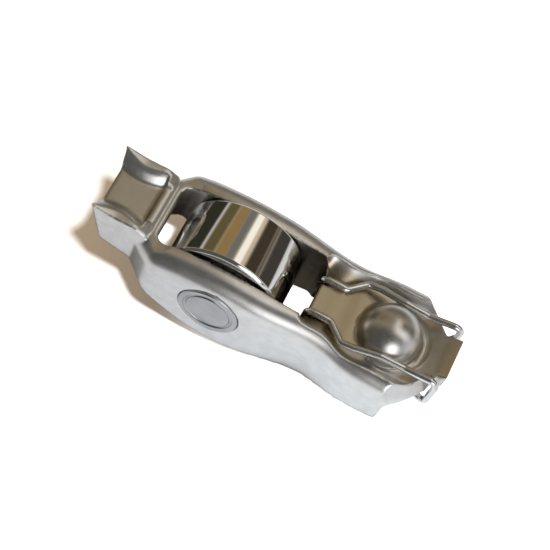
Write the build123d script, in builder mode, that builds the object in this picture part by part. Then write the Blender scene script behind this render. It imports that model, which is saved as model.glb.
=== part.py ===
"""Roller finger rocker arm of a valve train.

A drawn steel arm with a valve pad at one end and a ball socket at the other.
A cam roller runs on needle rollers between them, and a wire clip holds the
arm to the ball of its lash adjuster.

The pieces are drawn in the arm's own axes: X runs from the valve end to the
socket end, Y runs along the axle, Z points up and the axle is at zero. At the
end each piece is seated as the arm lies on a flat surface, on its roller and
on the two lower corners of its tail, with the centre of the ball socket at
the origin.
"""

from build123d import *
import math
import os

os.makedirs("parts", exist_ok=True)

# Driving dimensions in millimetres and degrees

# Axle, needles and cam roller
axle_diameter = 8.8
axle_fit = 0.01                # radial, between the axle and its holes
axle_stand_out = 0.08          # each end stands this far proud of the wall
axle_edge = 0.25               # chamfer on the axle's ends
stake_inset = 1.0              # from the axle's edge to the stamped ring
stake_width = 0.5
stake_depth = 0.3
hole_edge = 0.2                # chamfer round the axle's holes
needle_count = 20
needle_gap = 0.03              # between neighbouring needles
needle_clearance = 0.03        # radial, to the axle and to the roller's bore
needle_edge = 0.25             # chamfer on a needle's ends
needle_length_play = 0.4       # a needle is this much shorter than the roller
roller_wall = 2.4325           # from the bore to the running surface
roller_width = 9.0
roller_edge = 0.5              # chamfer on the outer edges
roller_bore_edge = 0.35        # chamfer on the bore
roller_side_play = 0.3         # between the roller and each side wall

# Drawn arm, sideways
wall = 3.4                     # thickness of the side walls
waist_inset = 0.7              # the waist is this much narrower on each side
tail_flare = 0.4               # the tail is this much wider on each side
bend_radius = 2.9              # outside radius of the drawn bend

# Drawn arm, lengthwise
window_valve_play = 2.1        # between the roller and the window's valve end
window_tail_play = 3.3         # between the roller and the window's tail end
window_corner = 1.5
ledge_width = 1.1              # from the window to the cross bar
bar_width = 1.2
valve_reach = 7.2              # from the cross bar to the valve end
flare_overlap = 1.0            # full width is reached this far into the window
flare_rounding = 3.0
waist_reach = 3.0              # from the window to the narrowest place
socket_reach = 11.3            # from the window to the socket
wall_reach = 3.6               # from the socket to the end of the side walls
tongue_length = 1.7            # beyond the oblique corners
belly_shift = 0.8              # the lowest place lies this far before the axle

# Heights over the axle
bar_top = 4.9
ledge = 0.3                    # the ledge lies this far below the bar
ledge_tilt = 8.5               # it rises towards the roller
ledge_half_width = 6.4
ledge_length = 3.4
ledge_corner = 1.6
shoulder_top = 5.5             # rim beside the window's valve end
rim_wall = 2.1                 # of the rim over the axle
waist_top = 5.4
tail_top = 4.7
tip_top = 6.0
tongue = 3.0                   # thickness of the tongue
guide_top = 6.0                # top of the ears at the valve end
guide_dip = 5.55               # their lowest place
guide_back = 5.5               # their top where the cross bar begins
guide_end = 4.98               # their top at the ledge
guide_bottom = -1.2
guide_root_bottom = -2.4
belly_wall = 2.4               # of the side walls under the axle
waist_bottom = -4.8
tail_bottom = -4.2
tail_rounding = 1.0            # of the side walls' lower corners

# Valve end
slot_half_width = 3.2          # room for the valve stem's tip
guide = 2.2                    # thickness of the guide flanges
guide_lean = 2.3               # the flange's lower corner stands back this far
pad_top = 4.1
pad = 2.6                      # thickness of the web over the valve
pad_half_width = 2.4           # flat floor between the ears, in the middle
pad_widening = 0.8             # it is this much wider at both ends
ear_foot = 1.0                 # width of the steep foot of each ear
ear_foot_rise = 1.05
ear_lip = 0.35                 # flat top of each ear
ear_rounding = 0.55

# Tail
corner_run = 3.9               # of the oblique corners, along the arm
corner_reach = 3.7             # of the oblique corners, across the arm
tongue_inset = 1.6             # the tongue is this much narrower on each side
corner_height = 1.35           # lower edge of the bevel over these corners
corner_slope = 65.0            # of that bevel
corner_bevel = 6.0             # reach of that bevel up the corner
corner_overrun = 0.8           # of that bevel towards the tongue

# Trough between the rails
trough_start = 1.8             # half width and slope in the window
trough_half_width = 3.2        # flat floor beside the window
pocket_half_width = 5.4        # flat floor round the dome
trough_slope = 2.1             # width of each slope beside the window
pocket_slope = 1.5             # width of each slope round the dome
slope_rise = 1.6               # height over which a slope has that width
trough_floor = 3.35
pocket_floor = 3.1
trough_length = 4.6            # from the window to where it is wide
trough_rounding = 0.9
web = 3.0                      # thickness of the web under the trough

# Ball socket
socket_radius = 3.5
socket_below_web = 1.8         # of the ball's centre, below the pocket's floor
socket_mouth = 0.5             # chamfer round the mouth
dome_wall = 1.1                # the dome's radius over the socket's
dome_rise = 1.35               # of the dome's centre over the ball's centre
groove_margin = 0.55           # from the dome to the outside of its groove
groove_depth = 0.35
groove_shift = 0.6             # the groove's centre, towards the tongue

# Wire clip
wire_diameter = 1.0
wire_bend = 1.0                # bend radius on the wire's centre line
wire_seat = 0.03               # between the wire and what it lies on
clip_hook_length = 3.2         # of the hook under the web
clip_hook_drop = 0.05          # between the hook and the web above it
clip_half_width = 2.75         # of the strands from the middle, at the window
clip_spread_start = 3.4        # from the window to where the strands spread
clip_spread_length = 2.4
clip_spread_half_width = 5.0
clip_spread_z = 4.1
clip_dome_play = 0.04          # between the wire and the dome
clip_dome_half_width = 4.5     # beside the dome's middle
clip_tail_play = 0.35          # between the wire and the shoulder of the tail
clip_tail_half_width = 4.6
clip_tail_z = 5.85
clip_leg_half_width = 3.3      # of the legs beside the adjuster's ball
clip_leg_drop = 0.25           # between the legs and the web above them
clip_leg_start = 3.6           # the legs are straight from here, off the turn
clip_leg_length = 8.4
notch_play = 0.1               # round the wire in the window's edge
notch_depth = 0.9              # of the wire's notches from the window's edge

# Sizes that follow from them

axle_radius = axle_diameter / 2
needle_share = math.sin(math.pi / needle_count)
needle_diameter = (
    2 * (axle_radius + needle_clearance) * needle_share - needle_gap
) / (1 - needle_share)
needle_pitch_radius = axle_radius + needle_clearance + needle_diameter / 2
needle_length = roller_width - needle_length_play
roller_bore_radius = needle_pitch_radius + needle_diameter / 2 + needle_clearance
roller_radius = roller_bore_radius + roller_wall
inner_half_width = roller_width / 2 + roller_side_play
arm_half_width = inner_half_width + wall
waist_half_width = arm_half_width - waist_inset
tail_half_width = arm_half_width + tail_flare
shoulder_half_width = tail_half_width - corner_reach
tongue_half_width = shoulder_half_width - tongue_inset
valve_half_width = slot_half_width + guide
axle_end = arm_half_width + axle_stand_out
stake_radius = axle_radius - stake_inset

window_left = -roller_radius - window_valve_play
window_right = roller_radius + window_tail_play
bar_step_x = window_left - ledge_width
bar_left = bar_step_x - bar_width
valve_end = bar_left - valve_reach
flare_end = window_left + flare_overlap
waist_x = window_right + waist_reach
pocket_start = window_right + trough_length
socket_x = window_right + socket_reach
wall_end = socket_x + wall_reach
tongue_root = wall_end + corner_run
tip = tongue_root + tongue_length

rim_top = axle_radius + rim_wall
belly = -axle_radius - belly_wall
web_underside = trough_floor - web
bar_underside = pad_top - pad
socket_z = pocket_floor - socket_below_web
dome_z = socket_z + dome_rise
dome_radius = socket_radius + dome_wall
groove_radius = dome_radius + groove_margin
corner_length = math.hypot(corner_run, corner_reach)
above = rim_top + 2 * roller_radius
below = belly - 2 * roller_radius

wire_radius = wire_diameter / 2
notch_radius = wire_radius + notch_play
notch_x = window_right + notch_depth - notch_radius
clip_x = window_right + notch_depth - notch_play - wire_radius - 0.35
clip_hook_z = web_underside - wire_radius - clip_hook_drop
clip_trough_z = trough_floor + wire_radius + wire_seat
clip_leg_z = web_underside - wire_radius - clip_leg_drop
clip_tail_x = tongue_root + clip_tail_play + wire_radius
clip_dome_reach = dome_radius + wire_radius + clip_dome_play
clip_dome_z = dome_z + math.sqrt(clip_dome_reach**2 - clip_dome_half_width**2)


# Drawn arm


def side_line(inset):
    """Draw half of the arm's outline seen from above, moved inwards by inset."""
    half = arm_half_width - inset
    FilletPolyline(
        (bar_left, valve_half_width - inset),
        (flare_end, half),
        (roller_radius / 2, half),
        radius=flare_rounding,
    )
    Spline(
        (roller_radius / 2, half),
        (waist_x, waist_half_width - inset),
        (socket_x, tail_half_width - inset),
        tangents=[(1, 0), (1, 0)],
    )


def plan_outline(inset, end):
    """Draw half of the closed outline seen from above, up to end along X."""
    side_line(inset)
    Polyline(
        (socket_x, tail_half_width - inset),
        (end, tail_half_width - inset),
        (end, 0),
        (bar_left, 0),
        (bar_left, valve_half_width - inset),
    )


def trough_line(floor, flat, slope):
    """Draw the trough's section: a flat floor with a slope on each side."""
    top = floor + 2 * slope_rise
    reach = flat + 2 * slope
    FilletPolyline(
        (-reach, top), (-flat, floor), (flat, floor), (reach, top), radius=trough_rounding
    )
    Line((reach, top), (-reach, top))


def recess_line(flat):
    """Draw the section between the ears: a floor, a steep foot and a flat slope."""
    foot = flat + ear_foot
    lip = valve_half_width - ear_lip
    rise = guide_top - pad_top - ear_foot_rise
    far = lip + (lip - foot)
    top = guide_top + rise
    FilletPolyline(
        (-far, top),
        (-foot, pad_top + ear_foot_rise),
        (-flat, pad_top),
        (flat, pad_top),
        (foot, pad_top + ear_foot_rise),
        (far, top),
        radius=ear_rounding,
    )
    Line((far, top), (-far, top))


with BuildPart() as arm:
    # Outline seen from the side, pulled across the whole width
    with BuildSketch(Plane.XZ.offset(-tail_half_width - 1)) as side_view:
        with BuildLine():
            Spline(
                (bar_left, bar_top),
                (window_left, bar_top - 0.05),
                (-roller_radius, shoulder_top),
                (-roller_radius / 2, rim_top - 0.25),
                (0, rim_top),
                (roller_radius, rim_top - 0.55),
                (waist_x, waist_top),
                (socket_x - dome_radius, tail_top + 0.1),
                (socket_x, tail_top),
                (wall_end, tail_top + 0.15),
                (tip, tip_top),
            )
            Polyline(
                (tip, tip_top),
                (tip, tip_top - tongue),
                (wall_end + 1.4, web_underside),
                (wall_end, web_underside),
                (wall_end, tail_bottom),
                (waist_x, waist_bottom),
            )
            Spline(
                (waist_x, waist_bottom),
                (-belly_shift, belly),
                (flare_end, guide_root_bottom - 0.9),
                (bar_left, guide_root_bottom),
                tangents=[(-1, -0.1), (-1, 0)],
            )
            Line((bar_left, guide_root_bottom), (bar_left, bar_top))
        make_face()
    extrude(amount=2 * tail_half_width + 2)

    # Outline seen from above
    with BuildSketch(Plane.XY.offset(below)) as top_view:
        with BuildLine():
            plan_outline(0, tip)
        make_face()
        mirror(about=Plane.XZ)
    extrude(amount=above - below, mode=Mode.INTERSECT)

    # Drawn bend between the top and the side walls
    bend_edges = [
        edge
        for edge in arm.edges()
        if abs(edge.center().Y) > valve_half_width
        and edge.center().Z > web
        and edge.bounding_box().size.X > 1
    ]
    fillet(bend_edges, radius=bend_radius)

    # Valve end, whole at first
    with BuildSketch(Plane.XZ.offset(-valve_half_width)) as guide_view:
        with BuildLine():
            Spline(
                (valve_end, guide_top),
                (valve_end + 0.45 * valve_reach, guide_dip),
                (bar_left - 0.2 * valve_reach, guide_dip + 0.1),
                (bar_left, guide_back),
                tangents=[(1, -0.15), (1, -0.5)],
            )
            Polyline(
                (bar_left, guide_back),
                (bar_step_x, guide_end),
                (bar_step_x, guide_root_bottom),
                (bar_left, guide_root_bottom),
                (valve_end + guide_lean, guide_bottom),
                (valve_end, guide_top),
            )
        make_face()
    extrude(amount=2 * valve_half_width)

    # Recess between the ears, down to the pad
    for x, widening in (
        (valve_end - 0.2, pad_widening),
        (valve_end + valve_reach / 2, 0),
        (bar_left, pad_widening),
    ):
        with BuildSketch(Plane.YZ.offset(x)):
            with BuildLine():
                recess_line(pad_half_width + widening)
            make_face()
    loft(mode=Mode.SUBTRACT)

    # Crest of the cross bar between the ears
    with BuildSketch(Plane.XY.offset(bar_top)) as crest_view:
        with Locations(((bar_left + bar_step_x) / 2, 0)):
            Rectangle(bar_width + 0.2, 2 * (pad_half_width + pad_widening))
    extrude(amount=guide_top, mode=Mode.SUBTRACT)

    # Trough between the rails, narrow beside the window and wide at the dome
    for x, floor, flat, slope in (
        (window_right - 1, trough_floor, trough_start, trough_start),
        (window_right + 1.2, trough_floor, trough_half_width, trough_slope),
        (waist_x, trough_floor, trough_half_width + 0.2, trough_slope),
        (pocket_start, trough_floor - 0.1, pocket_half_width - 0.9, pocket_slope + 0.2),
        (pocket_start + 1.4, pocket_floor, pocket_half_width, pocket_slope),
        (socket_x, pocket_floor, pocket_half_width, pocket_slope),
        (wall_end, pocket_floor, pocket_half_width, pocket_slope),
        (wall_end + 2.4, pocket_floor + 1.0, pocket_half_width, pocket_slope),
        (tongue_root, tip_top - 0.9, pocket_half_width, pocket_slope),
        (tip + 0.8, tip_top + 0.3, pocket_half_width, pocket_slope),
    ):
        with BuildSketch(Plane.YZ.offset(x)):
            with BuildLine():
                trough_line(floor, flat, slope)
            make_face()
    loft(mode=Mode.SUBTRACT)

    # Groove and dome over the ball socket
    with BuildSketch(Plane.XY.offset(pocket_floor - groove_depth)) as groove_view:
        with Locations((socket_x + groove_shift, 0)):
            Circle(groove_radius)
    extrude(amount=above, mode=Mode.SUBTRACT)
    with Locations((socket_x, 0, dome_z)):
        Sphere(dome_radius)

    # Hollow between the side walls
    with BuildSketch(Plane.XY.offset(below)) as hollow_view:
        with BuildLine():
            plan_outline(wall, tip + 1)
        make_face()
        mirror(about=Plane.XZ)
    extrude(amount=web_underside - below, mode=Mode.SUBTRACT)
    with BuildSketch(Plane.XY.offset(below)) as slot_view:
        with Locations(((valve_end + window_left) / 2, 0)):
            Rectangle(window_left - valve_end + 2, 2 * slot_half_width)
    extrude(amount=bar_underside - below, mode=Mode.SUBTRACT)

    # Ledge round the window's end at the cross bar
    ledge_plane = Plane(
        origin=(bar_step_x, 0, bar_top - ledge),
        x_dir=(math.cos(math.radians(ledge_tilt)), 0, math.sin(math.radians(ledge_tilt))),
        z_dir=(-math.sin(math.radians(ledge_tilt)), 0, math.cos(math.radians(ledge_tilt))),
    )
    with BuildSketch(ledge_plane) as ledge_view:
        with Locations((ledge_length / 2, 0)):
            RectangleRounded(ledge_length, 2 * ledge_half_width, ledge_corner)
    extrude(amount=rim_wall, mode=Mode.SUBTRACT)

    # Window for the roller, with a notch for each strand of the clip
    with BuildSketch(Plane.XY.offset(below)) as window_view:
        with Locations(((window_left + window_right) / 2, 0)):
            RectangleRounded(
                window_right - window_left, 2 * inner_half_width, window_corner
            )
        for side in (-1, 1):
            with Locations((notch_x, side * clip_half_width)):
                Circle(notch_radius)
            with Locations(((window_right + notch_x - 1) / 2, side * clip_half_width)):
                Rectangle(notch_x - window_right + 1, 2 * notch_radius)
    extrude(amount=above - below, mode=Mode.SUBTRACT)

    # Ball socket from below
    with BuildSketch(Plane.XZ) as socket_view:
        with BuildLine():
            mouth = socket_radius + socket_mouth + 1
            Polyline(
                (socket_x, socket_z + socket_radius),
                (socket_x, web_underside - 1),
                (socket_x + mouth, web_underside - 1),
                (socket_x + socket_radius, web_underside + socket_mouth),
                (socket_x + socket_radius, socket_z),
            )
            RadiusArc(
                (socket_x + socket_radius, socket_z),
                (socket_x, socket_z + socket_radius),
                -socket_radius,
            )
        make_face()
    revolve(axis=Axis((socket_x, 0, 0), (0, 0, 1)), mode=Mode.SUBTRACT)

    # Oblique corners and tongue at the tail
    with BuildSketch(Plane.XY.offset(below)) as corner_view:
        with BuildLine():
            Polyline(
                (wall_end, tail_half_width),
                (tongue_root, shoulder_half_width),
                (tongue_root + 0.3, tongue_half_width),
                (tip + 1, tongue_half_width),
                (tip + 1, tail_half_width + 1),
                (wall_end, tail_half_width + 1),
                (wall_end, tail_half_width),
            )
        make_face()
        mirror(about=Plane.XZ)
    extrude(amount=above - below, mode=Mode.SUBTRACT)

    # Bevel over each oblique corner
    for side in (-1, 1):
        bevel = Plane(
            origin=(wall_end, side * tail_half_width, corner_height),
            x_dir=(corner_run, -side * corner_reach, 0),
            z_dir=(
                corner_reach * math.sin(math.radians(corner_slope)),
                side * corner_run * math.sin(math.radians(corner_slope)),
                corner_length * math.cos(math.radians(corner_slope)),
            ),
        )
        with BuildSketch(bevel):
            with Locations((corner_overrun / 2, -side * corner_bevel / 2)):
                Rectangle(2 * corner_length + corner_overrun, corner_bevel + 0.2)
        extrude(amount=corner_length, mode=Mode.SUBTRACT)

    # Lower corner of each side wall
    lower_corner = [
        edge
        for edge in arm.edges().filter_by(Axis.Y)
        if abs(edge.center().X - wall_end) < 0.01
        and abs(edge.center().Z - tail_bottom) < 0.01
    ]
    fillet(lower_corner, tail_rounding)

    # Holes for the axle
    with Locations(Plane.XZ):
        Cylinder(axle_radius + axle_fit, 4 * arm_half_width, mode=Mode.SUBTRACT)
    rims = [
        edge
        for edge in arm.edges().filter_by(GeomType.CIRCLE)
        if abs(edge.radius - axle_radius - axle_fit) < 0.001
        and abs(edge.center().Y) > arm_half_width - 0.01
    ]
    chamfer(rims, hole_edge)

# Cam roller
with BuildPart() as roller:
    with BuildSketch(Plane.XZ.offset(-roller_width / 2)):
        Circle(roller_radius)
        Circle(roller_bore_radius, mode=Mode.SUBTRACT)
    extrude(amount=roller_width)
    rims = roller.edges().filter_by(GeomType.CIRCLE)
    chamfer([rim for rim in rims if rim.radius > roller_radius - 0.1], roller_edge)
    rims = roller.edges().filter_by(GeomType.CIRCLE)
    chamfer([rim for rim in rims if rim.radius < roller_bore_radius + 0.1], roller_bore_edge)

# Axle with a stamped ring in each end
with BuildPart() as axle:
    with BuildSketch(Plane.XZ.offset(-axle_end)):
        Circle(axle_radius)
    extrude(amount=2 * axle_end)
    chamfer(axle.edges().filter_by(GeomType.CIRCLE), axle_edge)
    stamped = (
        Plane.XZ.offset(-axle_end - stake_depth),
        Plane.XZ.offset(axle_end - stake_depth),
    )
    with BuildSketch(*stamped):
        Circle(stake_radius + stake_width / 2)
        Circle(stake_radius - stake_width / 2, mode=Mode.SUBTRACT)
    extrude(amount=2 * stake_depth, mode=Mode.SUBTRACT)

# Needle roller
with BuildPart() as needle:
    with BuildSketch(Plane.XZ.offset(-needle_length / 2)):
        Circle(needle_diameter / 2)
    extrude(amount=needle_length)
    chamfer(needle.edges().filter_by(GeomType.CIRCLE), needle_edge)

# Wire clip, from its hook under the web to the legs beside the adjuster's ball
strand = [
    (clip_x + clip_hook_length, clip_half_width, clip_hook_z),
    (clip_x, clip_half_width, clip_hook_z),
    (clip_x, clip_half_width, clip_trough_z),
    (window_right + clip_spread_start, clip_half_width, clip_trough_z),
    (
        window_right + clip_spread_start + clip_spread_length,
        clip_spread_half_width,
        clip_spread_z,
    ),
    (socket_x - dome_radius + 1, clip_spread_half_width, clip_spread_z + 0.4),
    (socket_x, clip_dome_half_width, clip_dome_z),
    (wall_end, clip_dome_half_width - 0.1, clip_dome_z),
    (clip_tail_x, clip_tail_half_width, clip_tail_z),
    (clip_tail_x, clip_tail_half_width, clip_leg_z),
    (clip_tail_x - clip_leg_start, clip_leg_half_width, clip_leg_z),
    (clip_tail_x - clip_leg_start - clip_leg_length, clip_leg_half_width, clip_leg_z),
]
other_strand = [(x, -y, z) for x, y, z in strand]

with BuildPart() as retaining_clip:
    with BuildLine() as wire_line:
        FilletPolyline(*reversed(other_strand), *strand, radius=wire_bend)
    for run in wire_line.edges():
        with BuildSketch(Plane(origin=run @ 0, z_dir=run % 0)):
            Circle(wire_radius)
        if run.geom_type == GeomType.LINE:
            extrude(amount=run.length)
        else:
            turn_axis = (run @ 0 - run.arc_center).cross(run % 0)
            turn = math.degrees(run.length / wire_bend)
            revolve(axis=Axis(run.arc_center, turn_axis), revolution_arc=turn)

# Every piece is seated as the arm lies, and the socket's centre is the origin
corner_x = wall_end - tail_rounding
corner_z = tail_bottom + tail_rounding
rest_angle = math.degrees(
    math.asin((roller_radius - tail_rounding) / math.hypot(corner_x, corner_z))
    - math.atan2(-corner_z, corner_x)
)
rest = Rot(0, rest_angle, 0) * Pos(-socket_x, 0, -socket_z)

arm.part.label = "arm"
arm.part.location = rest
export_step(arm.part, "parts/arm.step")

roller.part.label = "roller"
roller.part.location = rest
export_step(roller.part, "parts/roller.step")

axle.part.label = "axle"
axle.part.location = rest
export_step(axle.part, "parts/axle.step")

retaining_clip.part.label = "retaining_clip"
retaining_clip.part.location = rest
export_step(retaining_clip.part, "parts/retaining_clip.step")

for number in range(needle_count):
    place = Rot(0, number * 360 / needle_count, 0) * Pos(needle_pitch_radius, 0, 0)
    seated = rest * place * needle.part
    seated.label = f"needle_{number + 1:02d}"
    export_step(seated, f"parts/{seated.label}.step")
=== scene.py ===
"""Looks of a roller finger rocker arm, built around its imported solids."""

import logging
import math
from dataclasses import dataclass
from enum import Enum
from typing import Any, Sequence

import bmesh
import bpy
from mathutils import Matrix, Vector


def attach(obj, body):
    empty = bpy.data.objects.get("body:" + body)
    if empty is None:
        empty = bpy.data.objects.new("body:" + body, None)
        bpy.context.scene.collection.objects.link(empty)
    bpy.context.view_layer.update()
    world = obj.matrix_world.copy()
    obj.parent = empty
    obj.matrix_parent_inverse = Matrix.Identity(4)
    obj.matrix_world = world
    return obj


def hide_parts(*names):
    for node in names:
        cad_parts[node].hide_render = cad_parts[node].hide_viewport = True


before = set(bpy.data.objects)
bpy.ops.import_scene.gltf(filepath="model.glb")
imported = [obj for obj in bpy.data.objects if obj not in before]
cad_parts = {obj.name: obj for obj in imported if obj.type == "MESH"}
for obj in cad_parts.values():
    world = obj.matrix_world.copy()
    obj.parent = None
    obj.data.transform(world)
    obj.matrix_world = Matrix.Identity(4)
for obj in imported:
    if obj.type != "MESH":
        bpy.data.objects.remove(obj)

log = logging.getLogger("rocker_arm")

MM = 0.001
IMAGE_WIDTH = 550.0
SENSOR_WIDTH = 36.0

Triple = tuple[float, float, float]
Colour = tuple[float, float, float]
Fade = tuple[float, float]


# Places


@dataclass(frozen=True)
class LeverAxes:
    """The arm's own axes, in millimetres: X to the tail, Y along the axle, Z up.

    The arm lies tilted on the floor, and the row frame's origin is the centre
    of its ball socket.
    """

    socket_x: float = 23.1
    socket_z: float = 1.3
    tilt: float = math.radians(9.736)

    def matrix(self) -> Matrix:
        """Return the matrix that takes millimetres in these axes to the row frame."""
        turn = Matrix.Rotation(self.tilt, 4, "Y")
        shift = Matrix.Translation((-self.socket_x, 0.0, -self.socket_z))
        return Matrix.Scale(MM, 4) @ turn @ shift

    def point(self, x: float, y: float, z: float) -> Vector:
        """Return a point given in these axes, in metres in the row frame."""
        return self.matrix() @ Vector((x, y, z))

    def way(self, x: float, y: float, z: float) -> Vector:
        """Return a direction given in these axes, as a unit vector."""
        return (Matrix.Rotation(self.tilt, 3, "Y") @ Vector((x, y, z))).normalized()


AXES = LeverAxes()


# Shader sheets


class Wire:
    """One output socket of a node, with arithmetic that adds Math nodes."""

    def __init__(self, sheet: "Sheet", socket: bpy.types.NodeSocket) -> None:
        """Keep the sheet and the socket."""
        self.sheet = sheet
        self.socket = socket

    def _math(self, operation: str, *values: Any) -> "Wire":
        """Add one Math node.

        Args:
            operation: the node's operation.
            values: its inputs in order, as wires or numbers.

        Returns:
            The node's output.
        """
        inputs = dict(enumerate(values))
        return self.sheet.node("ShaderNodeMath", {"operation": operation}, inputs)

    def __add__(self, other: Any) -> "Wire":
        """Add."""
        return self._math("ADD", self, other)

    def __radd__(self, other: Any) -> "Wire":
        """Add, reflected."""
        return self._math("ADD", other, self)

    def __sub__(self, other: Any) -> "Wire":
        """Subtract."""
        return self._math("SUBTRACT", self, other)

    def __rsub__(self, other: Any) -> "Wire":
        """Subtract, reflected."""
        return self._math("SUBTRACT", other, self)

    def __mul__(self, other: Any) -> "Wire":
        """Multiply."""
        return self._math("MULTIPLY", self, other)

    def __rmul__(self, other: Any) -> "Wire":
        """Multiply, reflected."""
        return self._math("MULTIPLY", other, self)

    def absolute(self) -> "Wire":
        """Return the value without its sign."""
        return self._math("ABSOLUTE", self)

    def ramp(self, low: float, high: float) -> "Wire":
        """Rise smoothly from 0 at low to 1 at high, or fall where low is above high.

        Args:
            low: value that gives 0.
            high: value that gives 1.

        Returns:
            The smoothed value.
        """
        settings = {"interpolation_type": "SMOOTHSTEP"}
        if low < high:
            inputs = {"Value": self, "From Min": low, "From Max": high}
            return self.sheet.node("ShaderNodeMapRange", settings, inputs, "Result")
        inputs = {
            "Value": self,
            "From Min": high,
            "From Max": low,
            "To Min": 1.0,
            "To Max": 0.0,
        }
        return self.sheet.node("ShaderNodeMapRange", settings, inputs, "Result")


class Sheet:
    """A node tree that is written as expressions."""

    def __init__(self, tree: bpy.types.NodeTree) -> None:
        """Empty the tree and keep it."""
        tree.nodes.clear()
        self.tree = tree

    def node(
        self,
        kind: str,
        settings: dict[str, Any] | None = None,
        inputs: dict[Any, Any] | None = None,
        output: Any = 0,
    ) -> Wire:
        """Add a node.

        Args:
            kind: the node's type.
            settings: attributes that are set before its sockets.
            inputs: values or wires by socket name or number.
            output: name or number of the output that is returned.

        Returns:
            That output.
        """
        node = self.tree.nodes.new(kind)
        for key, value in (settings or {}).items():
            setattr(node, key, value)
        for key, value in (inputs or {}).items():
            if isinstance(value, Wire):
                self.tree.links.new(value.socket, node.inputs[key])
            else:
                node.inputs[key].default_value = value
        if not len(node.outputs):
            return Wire(self, None)
        return Wire(self, node.outputs[output])

    def blend(self, factor: Any, first: Any, second: Any) -> Wire:
        """Mix two colours.

        Args:
            factor: 0 gives the first, 1 the second.
            first: colour or wire.
            second: colour or wire.

        Returns:
            The mixed colour.
        """
        four = [c if isinstance(c, Wire) else (*c, 1.0) for c in (first, second)]
        settings = {"data_type": "RGBA"}
        inputs = {0: factor, 6: four[0], 7: four[1]}
        return self.node("ShaderNodeMix", settings, inputs, 2)

    def dot(self, vector: Wire, way: Sequence[float]) -> Wire:
        """Return the dot product of a vector wire and a fixed direction."""
        settings = {"operation": "DOT_PRODUCT"}
        return self.node("ShaderNodeVectorMath", settings, {0: vector, 1: tuple(way)}, "Value")

    def distance(self, place: Wire, spot: Triple) -> Wire:
        """Return the distance of a place from a fixed spot."""
        settings = {"operation": "DISTANCE"}
        return self.node("ShaderNodeVectorMath", settings, {0: place, 1: spot}, "Value")

    def object_place(self) -> Wire:
        """Return Object coordinates in millimetres."""
        inputs = {
            "Vector": self.node("ShaderNodeTexCoord", output="Object"),
            "Scale": (1.0 / MM, 1.0 / MM, 1.0 / MM),
        }
        return self.node("ShaderNodeMapping", None, inputs, "Vector")

    def noise(self, place: Wire, scale: float, detail: float) -> Wire:
        """Return a noise value around 0.5.

        Args:
            place: coordinates.
            scale: noise cells in each unit of the coordinates.
            detail: octaves.

        Returns:
            The noise value.
        """
        inputs = {"Vector": place, "Scale": scale, "Detail": detail}
        return self.node("ShaderNodeTexNoise", None, inputs, 0)

    def bump(self, height: Wire, depth: float) -> Wire:
        """Return a normal bumped by a height, with depth in millimetres."""
        inputs = {"Height": height, "Distance": depth * MM, "Strength": 1.0}
        return self.node("ShaderNodeBump", None, inputs, 0)


def new_material(name: str) -> tuple[bpy.types.Material, Sheet]:
    """Return an empty node material and its sheet."""
    material = bpy.data.materials.new(name)
    material.use_nodes = True
    return material, Sheet(material.node_tree)


# Finishes


CLOUD_OCTAVES = 3.0
CLOUD_RANGE: Fade = (0.3, 0.7)
GRAIN_OCTAVES = 4.0
GRAIN_RANGE: Fade = (0.35, 0.65)
SPOT_EDGE: Fade = (1.05, 0.98)


class Polish(Enum):
    """How bright a steel surface is, as the size of its fine relief in millimetres."""

    BLASTED = 0.010
    TURNED = 0.002
    GROUND = 0.0003


@dataclass(frozen=True)
class PolishedSpot:
    """A round place where handling or drawing has made the steel brighter."""

    middle: Triple
    radius: float
    roughness: float


@dataclass(frozen=True)
class PaintedRoomTint:
    """A warm brown tint between the rails, a painted reflection of the warm room, kept off the
    dome and the bar.

    Places are in millimetres along and across the row frame.
    """

    colour: Colour = (0.44, 0.375, 0.26)
    tint_weak: float = 0.28
    tint_strong: float = 0.95
    pad_extra: float = 0.35
    half_width: float = 5.2
    pad_half_width: float = 2.7
    soft: float = 0.6
    web_start: Fade = (-14.0, -10.0)
    web_end: Fade = (2.0, -4.0)
    pad_narrows: Fade = (-31.5, -33.5)
    pad_end: Fade = (-31.5, -32.5)
    bar_start: Fade = (-34.6, -34.0)
    bar_end: Fade = (-31.9, -32.5)
    dome_middle: Triple = (23.1, 0.0, 2.65)
    dome_edge: Fade = (4.2, 5.0)

    def lay(self, sheet: Sheet, place: Wire, colour: Wire) -> Wire:
        """Return the colour with the painted reflection tint over it.

        Args:
            sheet: the material's sheet.
            place: Object coordinates in millimetres.
            colour: the bare steel's colour.

        Returns:
            The covered colour.
        """
        along, across = (sheet.dot(place, way) for way in ((1, 0, 0), (0, 1, 0)))
        narrowing = self.half_width - self.pad_half_width
        reach = along.ramp(*self.pad_narrows) * narrowing + across.absolute()
        cover = reach.ramp(self.half_width + self.soft, self.half_width - self.soft)
        web = along.ramp(*self.web_start) * along.ramp(*self.web_end)
        pad = along.ramp(*self.pad_end)
        # Painted reflection: the tint is strongest on the web and more on the pad; the bar is
        # left lighter as a painted highlight.
        depth = web * (self.tint_strong - self.tint_weak) + pad * self.pad_extra + self.tint_weak
        dome = tuple(AXES.point(*self.dome_middle) / MM)
        off_dome = sheet.distance(place, dome).ramp(*self.dome_edge)
        bar = along.ramp(*self.bar_start) * along.ramp(*self.bar_end)
        return sheet.blend(cover * depth * off_dome * (1.0 - bar), colour, self.colour)


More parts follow.
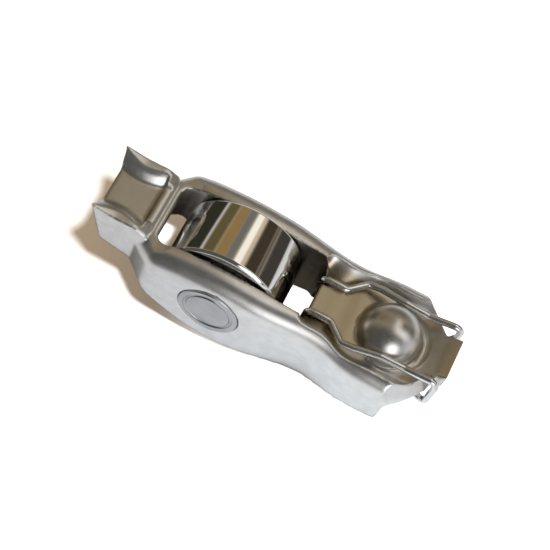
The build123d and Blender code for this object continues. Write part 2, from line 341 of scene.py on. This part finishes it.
@dataclass(frozen=True)
class SteelFinish:
    """A steel surface: its colour, how rough it is, and its fine relief."""

    name: str
    colour: Colour
    shade: Colour
    roughness: float
    polish: Polish
    roughness_change: float = 0.05
    grain: float = 8.0
    cloud: float = 0.35
    mottle: float = 0.0
    spots: tuple[PolishedSpot, ...] = ()
    # Painted reflection tint laid over the colour, if any.
    room_tint: PaintedRoomTint | None = None

    def make(self) -> bpy.types.Material:
        """Return the material of this finish."""
        material, sheet = new_material(self.name)
        place = sheet.object_place()
        cloud = sheet.noise(place, self.cloud, CLOUD_OCTAVES).ramp(*CLOUD_RANGE)
        grain = sheet.noise(place, self.grain, GRAIN_OCTAVES)
        cloud = (grain.ramp(*GRAIN_RANGE) - 0.5) * self.mottle + cloud
        colour = sheet.blend(cloud, self.colour, self.shade)
        if self.room_tint:
            colour = self.room_tint.lay(sheet, place, colour)
        rough: Any = self.roughness
        for spot in self.spots:
            middle = tuple(AXES.point(*spot.middle) / MM)
            bright = sheet.distance(place, middle).ramp(*(spot.radius * e for e in SPOT_EDGE))
            rough = bright * (spot.roughness - self.roughness) + rough
        rough = (grain - 0.5) * (2.0 * self.roughness_change) + rough
        inputs = {
            "Base Color": colour,
            "Metallic": 1.0,
            "Roughness": rough,
            "Normal": sheet.bump(grain, self.polish.value),
        }
        surface = sheet.node("ShaderNodeBsdfPrincipled", None, inputs, 0)
        sheet.node("ShaderNodeOutputMaterial", None, {"Surface": surface})
        return material


ARM_STEEL = SteelFinish(
    name="arm_steel",
    colour=(0.82, 0.82, 0.81),
    shade=(0.74, 0.73, 0.71),
    roughness=0.32,
    polish=Polish.BLASTED,
    cloud=0.6,
    mottle=0.2,
    spots=(PolishedSpot((23.1, 0.0, 2.65), 4.62, 0.3),),
    # The arm's top surfaces get the painted reflection tint.
    room_tint=PaintedRoomTint(),
)
AXLE_STEEL = SteelFinish(
    name="axle_steel",
    colour=(0.53, 0.53, 0.535),
    shade=(0.46, 0.46, 0.465),
    roughness=0.3,
    polish=Polish.TURNED,
    grain=9.0,
)
ROLLER_STEEL = SteelFinish(
    name="roller_steel",
    colour=(0.88, 0.87, 0.85),
    shade=(0.84, 0.83, 0.81),
    roughness=0.05,
    polish=Polish.GROUND,
    roughness_change=0.015,
    grain=6.0,
)
NEEDLE_STEEL = SteelFinish(
    name="needle_steel",
    colour=(0.8, 0.8, 0.8),
    shade=(0.72, 0.72, 0.72),
    roughness=0.12,
    polish=Polish.GROUND,
    roughness_change=0.02,
    grain=6.0,
)
CLIP_WIRE = SteelFinish(
    name="clip_wire",
    colour=(0.86, 0.86, 0.85),
    shade=(0.76, 0.76, 0.76),
    roughness=0.2,
    polish=Polish.TURNED,
    grain=5.0,
)


# Meshes


CORNER_SHARE = 0.3
TURNED_SHARP = math.radians(32)
WIRE_SHARP = math.radians(50)
MERGE_DISTANCE = 0.0005

def new_piece(name: str, mesh: bpy.types.Mesh) -> bpy.types.Object:
    """Return a linked object of a mesh that is already in place."""
    piece = bpy.data.objects.new(name, mesh)
    bpy.context.collection.objects.link(piece)
    return piece


def settle(piece: bpy.types.Object, body: str, nodes: Sequence[str]) -> None:
    """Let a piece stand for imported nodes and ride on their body.

    Args:
        piece: the piece, in place.
        body: the body's name.
        nodes: the nodes that the piece replaces.
    """
    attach(piece, body)
    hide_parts(*nodes)
    log.info("%s: %d faces, rides %s", piece.name, len(piece.data.polygons), body)


def turned_mesh(
    name: str, profile: Sequence[tuple[float, float]], closed: bool, segments: int = 128
) -> bpy.types.Mesh:
    """Turn a profile round the Y axis.

    Args:
        name: the mesh's name.
        profile: pairs of place along Y and radius, in millimetres; a radius
            of zero is a pole.
        closed: whether the last pair joins the first.
        segments: steps round the axis.

    Returns:
        The mesh, in millimetres round the Y axis.
    """
    shape = bmesh.new()
    rings: list[list[bmesh.types.BMVert]] = []
    for y, radius in profile:
        if radius <= 0.0:
            rings.append([shape.verts.new((0.0, y, 0.0))])
            continue
        turns = [2.0 * math.pi * step / segments for step in range(segments)]
        rings.append(
            [shape.verts.new((radius * math.cos(t), y, radius * math.sin(t))) for t in turns]
        )
    pairs = list(zip(rings, rings[1:]))
    if closed:
        pairs.append((rings[-1], rings[0]))
    for first, second in pairs:
        for step in range(segments):
            after = (step + 1) % segments
            corners = [first[step % len(first)], first[after % len(first)]]
            corners += [second[after % len(second)], second[step % len(second)]]
            shape.faces.new(list(dict.fromkeys(corners)))
    bmesh.ops.recalc_face_normals(shape, faces=shape.faces)
    mesh = bpy.data.meshes.new(name)
    shape.to_mesh(mesh)
    shape.free()
    mesh.shade_smooth()
    mesh.set_sharp_from_angle(angle=TURNED_SHARP)
    return mesh


def rounded_edge(
    y: float, radius: float, edge: float, outwards: int, steps: int = 3
) -> list[tuple[float, float]]:
    """Return a chamfer with softened corners, from the end face to the side.

    Args:
        y: place of the end face along the axis.
        radius: radius of the side.
        edge: size of the chamfer.
        outwards: 1 where the side faces away from the axis, -1 in a bore.
        steps: points on each softened corner.

    Returns:
        Pairs of place and radius.
    """
    sign = 1.0 if y > 0 else -1.0
    soft = edge * CORNER_SHARE
    points = []
    for step in range(steps + 1):
        t = step / steps
        points.append((y - sign * soft * t * t, radius - outwards * (edge + soft * (1 - 2 * t))))
    for step in range(steps + 1):
        t = step / steps
        points.append(
            (y - sign * (edge - soft + 2 * soft * t), radius - outwards * soft * (1 - t) ** 2)
        )
    return points


class FieldTree:
    """A Geometry Nodes tree with named inputs, written node by node."""

    def __init__(self, name: str) -> None:
        """Make an empty tree with a geometry input and output."""
        self.tree = bpy.data.node_groups.new(name, "GeometryNodeTree")
        interface = self.tree.interface
        interface.new_socket("Geometry", in_out="INPUT", socket_type="NodeSocketGeometry")
        interface.new_socket("Geometry", in_out="OUTPUT", socket_type="NodeSocketGeometry")
        self.start = self.tree.nodes.new("NodeGroupInput")
        self.end = self.tree.nodes.new("NodeGroupOutput")
        self.idents: dict[str, str] = {}

    def add_input(self, name: str, kind: str) -> bpy.types.NodeSocket:
        """Add a named input.

        Args:
            name: the input's name.
            kind: its socket type.

        Returns:
            The socket of the input node.
        """
        item = self.tree.interface.new_socket(name, in_out="INPUT", socket_type=kind)
        self.idents[name] = item.identifier
        return self.start.outputs[name]

    def node(
        self,
        kind: str,
        inputs: dict[Any, Any] | None = None,
        settings: dict[str, Any] | None = None,
        output: Any = 0,
    ) -> bpy.types.NodeSocket:
        """Add a node.

        Args:
            kind: the node's type.
            inputs: sockets or values by name or number.
            settings: attributes of the node.
            output: name or number of the output that is returned.

        Returns:
            That output.
        """
        node = self.tree.nodes.new(kind)
        for key, value in (settings or {}).items():
            setattr(node, key, value)
        for key, value in (inputs or {}).items():
            if isinstance(value, bpy.types.NodeSocket):
                self.tree.links.new(value, node.inputs[key])
            else:
                node.inputs[key].default_value = value
        return node.outputs[output]

    def finish(self, geometry: bpy.types.NodeSocket) -> None:
        """Make the instances real, set the material and close the tree."""
        material = self.add_input("Material", "NodeSocketMaterial")
        real = self.node("GeometryNodeRealizeInstances", {0: geometry})
        dressed = self.node("GeometryNodeSetMaterial", {"Geometry": real, "Material": material})
        self.tree.links.new(dressed, self.end.inputs[0])

    def grow(
        self, name: str, host_mesh: bpy.types.Mesh, values: dict[str, Any]
    ) -> bpy.types.Object:
        """Run the tree on a mesh and keep the result as a plain mesh.

        Args:
            name: the new piece's name.
            host_mesh: the mesh that the tree starts from.
            values: the inputs' values by name.

        Returns:
            The new object.
        """
        host = new_piece(f"{name}_host", host_mesh)
        modifier = host.modifiers.new("grow", "NODES")
        modifier.node_group = self.tree
        for key, value in values.items():
            modifier[self.idents[key]] = value
        graph = bpy.context.evaluated_depsgraph_get()
        mesh = bpy.data.meshes.new_from_object(
            host.evaluated_get(graph), preserve_all_data_layers=True, depsgraph=graph
        )
        mesh.name = name
        host.modifiers.remove(modifier)
        bpy.data.objects.remove(host)
        return new_piece(name, mesh)


# Sub-assemblies


@dataclass
class DrawnArm:
    """The drawn arm, with the softened edges of a tumbled pressing."""

    cell: float = 0.195
    rounds: int = 7
    strength: float = 0.5
    finish: SteelFinish = ARM_STEEL

    def soften(self, mesh: bpy.types.Mesh) -> bpy.types.Mesh:
        """Return a mesh of even cells with softened edges, in millimetres.

        Args:
            mesh: a closed mesh in millimetres.

        Returns:
            The softened mesh.
        """
        host = new_piece("arm_host", mesh)
        remesh = host.modifiers.new("cells", "REMESH")
        remesh.mode = "VOXEL"
        remesh.voxel_size = self.cell
        remesh.use_smooth_shade = True
        smooth = host.modifiers.new("soften", "SMOOTH")
        smooth.factor = self.strength
        smooth.iterations = self.rounds
        graph = bpy.context.evaluated_depsgraph_get()
        result = bpy.data.meshes.new_from_object(host.evaluated_get(graph))
        host.modifiers.clear()
        bpy.data.objects.remove(host)
        return result

    def build(self) -> bpy.types.Object:
        """Build the arm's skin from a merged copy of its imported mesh."""
        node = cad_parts["arm"]
        shape = bmesh.new()
        shape.from_mesh(node.data)
        shape.transform(Matrix.Scale(1.0 / MM, 4) @ node.matrix_world)
        bmesh.ops.remove_doubles(shape, verts=shape.verts, dist=MERGE_DISTANCE)
        mesh = bpy.data.meshes.new("arm_copy")
        shape.to_mesh(mesh)
        shape.free()
        skin = self.soften(mesh)
        skin.transform(Matrix.Scale(MM, 4))
        skin.name = "arm_skin"
        skin.materials.clear()
        skin.materials.append(self.finish.make())
        skin.shade_smooth()
        piece = new_piece("arm_skin", skin)
        settle(piece, "lever", ["arm"])
        return piece


@dataclass
class CamRoller:
    """The ground outer ring that the cam runs on."""

    radius: float = 8.5
    bore_radius: float = 6.0675
    half_width: float = 4.5
    edge: float = 0.35
    bore_edge: float = 0.35
    segments: int = 192
    finish: SteelFinish = ROLLER_STEEL

    def build(self) -> bpy.types.Object:
        """Turn the roller and set it on the axle's middle."""
        half = self.half_width
        profile = rounded_edge(-half, self.radius, self.edge, 1)
        profile += rounded_edge(half, self.radius, self.edge, 1)[::-1]
        profile += rounded_edge(half, self.bore_radius, self.bore_edge, -1)
        profile += rounded_edge(-half, self.bore_radius, self.bore_edge, -1)[::-1]
        mesh = turned_mesh("roller_ring", profile, closed=True, segments=self.segments)
        mesh.transform(AXES.matrix())
        mesh.materials.append(self.finish.make())
        piece = new_piece("roller_ring", mesh)
        settle(piece, "cam_roller", ["roller"])
        return piece


@dataclass
class StakedAxle:
    """The axle, held by a ring stamped into each of its ends."""

    radius: float = 4.4
    half_length: float = 8.28
    edge: float = 0.12
    ring_radius: float = 3.4
    ring_half_width: float = 0.25
    ring_depth: float = 0.28
    ring_steps: int = 6
    lip_depth: float = 0.04
    lip_width: float = 0.1
    finish: SteelFinish = AXLE_STEEL

    def end_profile(self, end: float) -> list[tuple[float, float]]:
        """Return one end's profile, from its middle to its side."""
        sign = 1.0 if end > 0 else -1.0
        ring, half, deep = self.ring_radius, self.ring_half_width, self.ring_depth
        lip, wide = end - sign * self.lip_depth, half + self.lip_width
        points = [(end, 0.0), (end, ring - wide), (lip, ring - half)]
        for step in range(1, self.ring_steps):
            t = math.pi * step / self.ring_steps
            points.append((end - sign * deep * math.sin(t), ring - half * math.cos(t)))
        points += [(lip, ring + half), (end, ring + wide)]
        return points + rounded_edge(end, self.radius, self.edge, 1)

    def build(self) -> bpy.types.Object:
        """Turn the axle and set it in its holes."""
        profile = self.end_profile(-self.half_length)
        profile += self.end_profile(self.half_length)[::-1]
        mesh = turned_mesh("axle_pin", profile, closed=False)
        mesh.transform(AXES.matrix())
        mesh.materials.append(self.finish.make())
        piece = new_piece("axle_pin", mesh)
        settle(piece, "lever", ["axle"])
        return piece


@dataclass
class NeedleRow:
    """The full row of needles between the axle and the roller."""

    count: int = 20
    pitch_radius: float = 5.2337
    needle_radius: float = 0.8037
    half_length: float = 4.3
    edge: float = 0.25
    corner_steps: int = 2
    segments: int = 24
    finish: SteelFinish = NEEDLE_STEEL

    def make_tree(self) -> FieldTree:
        """Write the tree that sets a needle at each point of a ring."""
        field = FieldTree("needle_row_tree")
        count = field.add_input("Count", "NodeSocketInt")
        radius = field.add_input("Pitch Radius", "NodeSocketFloat")
        middle = field.add_input("Middle", "NodeSocketVector")
        turn = field.add_input("Turn", "NodeSocketVector")
        ring = field.node("GeometryNodeMeshCircle", {"Vertices": count, "Radius": radius})
        quarter = (math.pi / 2, 0.0, 0.0)
        upright = field.node("GeometryNodeTransform", {"Geometry": ring, "Rotation": quarter})
        needles = field.node(
            "GeometryNodeInstanceOnPoints",
            {"Points": upright, "Instance": field.start.outputs["Geometry"]},
        )
        place = {"Geometry": needles, "Translation": middle, "Rotation": turn}
        field.finish(field.node("GeometryNodeTransform", place))
        return field

    def build(self) -> bpy.types.Object:
        """Turn one needle and set the row round the axle."""
        half, radius = self.half_length, self.needle_radius
        profile = [(-half, 0.0)] + rounded_edge(-half, radius, self.edge, 1, self.corner_steps)
        profile += rounded_edge(half, radius, self.edge, 1, self.corner_steps)[::-1]
        profile.append((half, 0.0))
        needle = turned_mesh("needle_form", profile, closed=False, segments=self.segments)
        needle.transform(Matrix.Scale(MM, 4))
        values = {
            "Count": self.count,
            "Pitch Radius": self.pitch_radius * MM,
            "Middle": tuple(AXES.point(0.0, 0.0, 0.0)),
            "Turn": (0.0, AXES.tilt, 0.0),
            "Material": self.finish.make(),
        }
        piece = self.make_tree().grow("needle_row", needle, values)
        nodes = [f"needle_{number:02d}" for number in range(1, self.count + 1)]
        settle(piece, "needle_set", nodes)
        return piece


@dataclass
class WireClip:
    """The bent wire clip, from its hook under the web to its two legs."""

    wire_radius: float = 0.5
    bend: float = 1.0
    bend_steps: int = 8
    section_steps: int = 20
    strand: Sequence[Triple] = (
        (14.95, 2.75, -0.2),
        (11.75, 2.75, -0.2),
        (11.75, 2.75, 3.88),
        (15.2, 2.75, 3.88),
        (17.6, 5.0, 4.1),
        (19.5, 5.0, 4.5),
        (23.1, 4.5, 5.033),
        (26.7, 4.4, 5.033),
        (31.45, 4.6, 5.85),
        (31.45, 4.6, -0.4),
        (27.85, 3.3, -0.4),
        (19.45, 3.3, -0.4),
    )
    finish: SteelFinish = CLIP_WIRE

    def make_tree(self) -> FieldTree:
        """Write the tree that rounds a line's bends and gives it the wire's section."""
        field = FieldTree("wire_clip_tree")
        bend = field.add_input("Bend Radius", "NodeSocketFloat")
        steps = field.add_input("Bend Steps", "NodeSocketInt")
        radius = field.add_input("Wire Radius", "NodeSocketFloat")
        line = field.node("GeometryNodeMeshToCurve", {0: field.start.outputs["Geometry"]})
        bent = field.node(
            "GeometryNodeFilletCurve",
            {"Curve": line, "Radius": bend, "Count": steps, "Limit Radius": True},
            {"mode": "POLY"},
        )
        circle = {"Radius": radius, 0: self.section_steps}
        section = field.node("GeometryNodeCurvePrimitiveCircle", circle)
        tube = field.node(
            "GeometryNodeCurveToMesh",
            {"Curve": bent, "Profile Curve": section, "Fill Caps": True},
        )
        field.finish(tube)
        return field

    def build(self) -> bpy.types.Object:
        """Bend the wire and lay it in the trough."""
        other = [(x, -y, z) for x, y, z in self.strand]
        line = [AXES.point(*point) for point in other[::-1] + list(self.strand)]
        mesh = bpy.data.meshes.new("wire_line")
        mesh.from_pydata(line, [(n, n + 1) for n in range(len(line) - 1)], [])
        values = {
            "Bend Radius": self.bend * MM,
            "Bend Steps": self.bend_steps,
            "Wire Radius": self.wire_radius * MM,
            "Material": self.finish.make(),
        }
        piece = self.make_tree().grow("clip_wire_bent", mesh, values)
        piece.data.shade_smooth()
        piece.data.set_sharp_from_angle(angle=WIRE_SHARP)
        settle(piece, "lever", ["retaining_clip"])
        return piece


# Studio


@dataclass(frozen=True)
class StudioStrip:
    """A strip of the room across the arm, as the roller mirrors it.

    A strip's place is the angle at which the roller's mirror image of it
    lies from the top, in degrees towards the tail.
    """

    place: float
    half: float
    colour: Colour
    soft: float = 1.2

    def mask(self, sweep: Wire) -> Wire:
        """Return 1 inside the strip and 0 outside, from the sweep angle."""
        offset = (sweep - self.place).absolute()
        return offset.ramp(self.half + self.soft, max(self.half - self.soft, 0.0))


OLIVE_BLACK: Colour = (0.030, 0.029, 0.019)
OLIVE: Colour = (0.12, 0.095, 0.042)
ORANGE_BROWN: Colour = (0.29, 0.185, 0.075)
BLUE_GREY: Colour = (0.17, 0.16, 0.145)
WINDOW_WHITE: Colour = (1.05, 0.98, 0.86)
CREAM: Colour = (0.62, 0.5, 0.37)
DARK_BROWN: Colour = (0.055, 0.04, 0.026)
MAUVE: Colour = (0.13, 0.1, 0.085)
WARM_GREY: Colour = (0.052, 0.047, 0.042)
PALE_GREY: Colour = (0.5, 0.49, 0.47)
BLACK: Colour = (0.012, 0.012, 0.012)
TAN_WALL: Colour = (0.38, 0.335, 0.245)
SOFT_BOX: Colour = (1.15, 1.12, 1.06)
FRONT_BOX: Colour = (2.4, 2.4, 2.4)
SIDE_GREY: Colour = (0.55, 0.55, 0.56)
WHITE: Colour = (1.0, 1.0, 1.0)
NO_LIGHT: Colour = (0.0, 0.0, 0.0)
PAPER_WHITE: Colour = (0.9, 0.9, 0.9)


@dataclass(frozen=True)
class RoomFades:
    """Where the room's parts fade in, as parts of a unit direction in the arm's axes."""

    front: Fade = (-0.25, 0.3)
    back: Fade = (0.68, 0.95)
    strips_front: Fade = (0.26, 0.32)
    strips_back: Fade = (0.72, 0.66)
    ceiling_front: Fade = (-0.14, -0.08)
    ceiling_back: Fade = (0.3, 0.22)
    ceiling_height: Fade = (0.1, 0.3)
    ceiling_along: Fade = (0.0, 0.15)
    front_box: Fade = (0.92, 0.985)
    side_along: Fade = (0.72, 0.9)
    side_height: Fade = (-0.2, 0.1)


@dataclass(frozen=True)
class PaperFades:
    """Where the paper's parts fade in, in millimetres along and across the row frame."""

    front_to_tail: Fade = (-40.0, 0.0)
    dark_to_tail: Fade = (2.0, 5.0)
    wall_line: Fade = (-8.0, -9.2)
    past_tail: Fade = (9.0, 14.0)
    behind: Fade = (9.0, 12.0)
    white_along: Fade = (-33.0, -12.0)
    painted_light_fade: Fade = (2.1, 1.1)
    white_far: Fade = (45.0, 75.0)


@dataclass
class Studio:
    """The pale floor, the plain light and the camera."""

    floor_drop: float = 5.841
    floor_half: float = 0.6
    lens_pixels: float = 1838.0
    distance: float = 0.250
    back: Triple = (0.0, -0.488, 0.873)
    right: Triple = (0.882, 0.411, 0.230)
    image_x: float = 233.0
    image_y: float = 264.7
    daylight: Colour = (0.50, 0.375, 0.25)
    lamp_place: Triple = (0.12, -0.12, 0.47)
    lamp_size: float = 0.05
    lamp_power: float = 2.95
    lamp_target: Triple = (-0.02, 0.0, 0.0)
    front_grey: Colour = (0.085, 0.083, 0.08)
    back_brown: Colour = (0.13, 0.12, 0.1)
    box_way: Triple = (0.46, -0.80, 0.40)
    front_paper: Colour = (0.46, 0.50, 0.56)
    # Floor colours that bright metal mirrors, a painted reflection: grey at the front, lighter
    # to the tail, and a painted shadow strip along the near wall's foot.
    tail_paper: Colour = (0.57, 0.63, 0.70)
    painted_shadow_paper: Colour = (0.05, 0.046, 0.036)
    # Middle of a painted light spot that glows in the shadow under the window.
    painted_light_spot: Triple = (-36.3, 5.1, -5.841)
    floor_middle: Triple = (-30.0, 0.0, -5.841)
    room_fades: RoomFades = RoomFades()
    paper_fades: PaperFades = PaperFades()
    strips: Sequence[StudioStrip] = (
        StudioStrip(-63.0, 30.0, OLIVE_BLACK, 3.0),
        StudioStrip(-32.2, 1.4, PALE_GREY, 0.8),
        StudioStrip(-25.5, 5.5, OLIVE, 2.0),
        StudioStrip(-14.0, 5.5, ORANGE_BROWN, 2.5),
        StudioStrip(-5.5, 3.6, BLUE_GREY, 2.0),
        StudioStrip(3.2, 3.6, WINDOW_WHITE, 1.4),
        StudioStrip(8.2, 2.2, CREAM, 1.4),
        StudioStrip(16.5, 6.3, DARK_BROWN, 2.2),
        StudioStrip(24.0, 1.2, MAUVE, 1.0),
        StudioStrip(34.0, 8.0, WARM_GREY, 3.0),
        StudioStrip(47.4, 3.6, PALE_GREY, 1.8),
        StudioStrip(73.0, 20.0, BLACK, 3.0),
    )

    def make_room(self, sheet: Sheet, direction: Wire) -> Wire:
        """Return the colour of the room that bright metal mirrors.

        Args:
            sheet: the world's sheet.
            direction: the direction wire.

        Returns:
            The room's colour.
        """
        along, across, height = (
            sheet.dot(direction, AXES.way(*way)) for way in ((1, 0, 0), (0, 1, 0), (0, 0, 1))
        )
        turn = sheet.node("ShaderNodeMath", {"operation": "ARCTAN2"}, {0: along, 1: height})
        # The mirrored direction turns twice as far as the roller's surface.
        sweep = turn * math.degrees(0.5)
        fades = self.room_fades
        room = sheet.blend(across.ramp(*fades.front), self.front_grey, TAN_WALL)
        room = sheet.blend(across.ramp(*fades.back), room, self.back_brown)
        band = across.ramp(*fades.strips_front) * across.ramp(*fades.strips_back)
        for strip in self.strips:
            room = sheet.blend(strip.mask(sweep) * band, room, strip.colour)
        ceiling = across.ramp(*fades.ceiling_front) * across.ramp(*fades.ceiling_back)
        ceiling = ceiling * height.ramp(*fades.ceiling_height)
        ceiling = ceiling * along.ramp(*fades.ceiling_along)
        room = sheet.blend(ceiling, room, SOFT_BOX)
        facing = sheet.dot(direction, AXES.way(*self.box_way))
        room = sheet.blend(facing.ramp(*fades.front_box), room, FRONT_BOX)
        side = along.ramp(*fades.side_along) * height.ramp(*fades.side_height)
        return sheet.blend(side * (1.0 - band), room, SIDE_GREY)

    def make_world(self) -> None:
        """Build the even daylight and what polished metal mirrors of the room."""
        world = bpy.data.worlds.new("studio_world")
        bpy.context.scene.world = world
        world.use_nodes = True
        world.cycles.sampling_method = "NONE"
        sheet = Sheet(world.node_tree)
        direction = sheet.node("ShaderNodeTexCoord", output="Generated")
        room = self.make_room(sheet, direction)
        path = sheet.tree.nodes.new("ShaderNodeLightPath")
        glossy = Wire(sheet, path.outputs["Is Glossy Ray"])
        camera = Wire(sheet, path.outputs["Is Camera Ray"])
        light = sheet.blend(glossy, self.daylight, room)
        light = sheet.blend(camera, light, WHITE)
        background = sheet.node("ShaderNodeBackground", None, {"Color": light}, 0)
        sheet.node("ShaderNodeOutputWorld", None, {"Surface": background})

    def make_paper(self) -> bpy.types.Material:
        """Return the floor's white paper, as the camera and bright metal see it."""
        material, sheet = new_material("floor_paper")
        place = sheet.object_place()
        apart = sheet.tree.nodes.new("ShaderNodeSeparateXYZ")
        sheet.tree.links.new(place.socket, apart.inputs[0])
        along, across = Wire(sheet, apart.outputs[0]), Wire(sheet, apart.outputs[1])
        path = sheet.tree.nodes.new("ShaderNodeLightPath")
        glossy = Wire(sheet, path.outputs["Is Glossy Ray"])
        camera = Wire(sheet, path.outputs["Is Camera Ray"])
        fades = self.paper_fades
        # Painted reflection of the floor for glossy rays, with a painted shadow strip along the
        # near wall's foot, dark up to the tail.
        front = sheet.blend(along.ramp(*fades.front_to_tail), self.front_paper, self.tail_paper)
        under = sheet.blend(along.ramp(*fades.dark_to_tail), self.painted_shadow_paper, self.tail_paper)
        mirrored = sheet.blend(across.ramp(*fades.wall_line), under, front)
        mirrored = sheet.blend(along.ramp(*fades.past_tail), mirrored, self.front_paper)
        mirrored = sheet.blend(across.ramp(*fades.behind), mirrored, self.front_paper)
        # Painted light: a round spot of the shadow under the window glows white for the camera.
        patch = sheet.distance(place, self.painted_light_spot).ramp(*fades.painted_light_fade)
        far = sheet.distance(place, self.floor_middle).ramp(*fades.white_far)
        cut_out = (along.ramp(*fades.white_along) + patch + far) * camera
        inputs = {
            "Base Color": sheet.blend(glossy, PAPER_WHITE, mirrored),
            "Emission Color": sheet.blend(cut_out, NO_LIGHT, WHITE),
            "Emission Strength": 1.0,
            "Roughness": 0.9,
            "Specular IOR Level": 0.0,
        }
        surface = sheet.node("ShaderNodeBsdfPrincipled", None, inputs, 0)
        sheet.node("ShaderNodeOutputMaterial", None, {"Surface": surface})
        return material

    def make_floor(self) -> None:
        """Lay the pale floor under the roller and the tail."""
        mesh = bpy.data.meshes.new("floor")
        half = self.floor_half
        level = -self.floor_drop * MM
        corners = [(-half, -half), (half, -half), (half, half), (-half, half)]
        mesh.from_pydata([(x, y, level) for x, y in corners], [], [(0, 1, 2, 3)])
        floor = new_piece("floor", mesh)
        mesh.materials.append(self.make_paper())

    def make_lamp(self) -> None:
        """Hang the soft key lamp up on the right."""
        data = bpy.data.lights.new("key_lamp", "AREA")
        data.shape = "DISK"
        data.size = self.lamp_size
        data.energy = self.lamp_power
        lamp = bpy.data.objects.new("key_lamp", data)
        place = Vector(self.lamp_place)
        way = (Vector(self.lamp_target) - place).normalized()
        lamp.matrix_world = (
            Matrix.Translation(place) @ way.to_track_quat("-Z", "Y").to_matrix().to_4x4()
        )
        lamp.visible_glossy = False
        bpy.context.collection.objects.link(lamp)

    def make_camera(self) -> None:
        """Set up the camera at the photograph's angle."""
        data = bpy.data.cameras.new("camera")
        data.sensor_width = SENSOR_WIDTH
        data.lens = SENSOR_WIDTH * self.lens_pixels / IMAGE_WIDTH
        data.clip_start = 0.01
        data.clip_end = 10.0
        back = AXES.way(*self.back)
        right = AXES.way(*self.right)
        right = (right - back * right.dot(back)).normalized()
        up = back.cross(right)
        scale = self.distance / self.lens_pixels
        middle = IMAGE_WIDTH / 2
        place = AXES.point(0, 0, 0) + back * self.distance
        place -= right * (self.image_x - middle) * scale
        place += up * (self.image_y - middle) * scale
        turn = Matrix((right, up, back)).transposed().to_4x4()
        camera = bpy.data.objects.new("camera", data)
        camera.matrix_world = Matrix.Translation(place) @ turn
        bpy.context.collection.objects.link(camera)
        bpy.context.scene.camera = camera

    def build(self) -> None:
        """Build everything round the object."""
        self.make_world()
        self.make_floor()
        self.make_lamp()
        self.make_camera()
        bpy.context.scene.view_settings.view_transform = "Standard"


def main() -> None:
    """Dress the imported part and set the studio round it."""
    logging.basicConfig(level=logging.INFO, format="%(name)s: %(message)s")
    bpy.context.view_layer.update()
    for assembly in (DrawnArm(), CamRoller(), StakedAxle(), NeedleRow(), WireClip()):
        assembly.build()
    Studio().build()


if __name__ == "__main__":
    main()
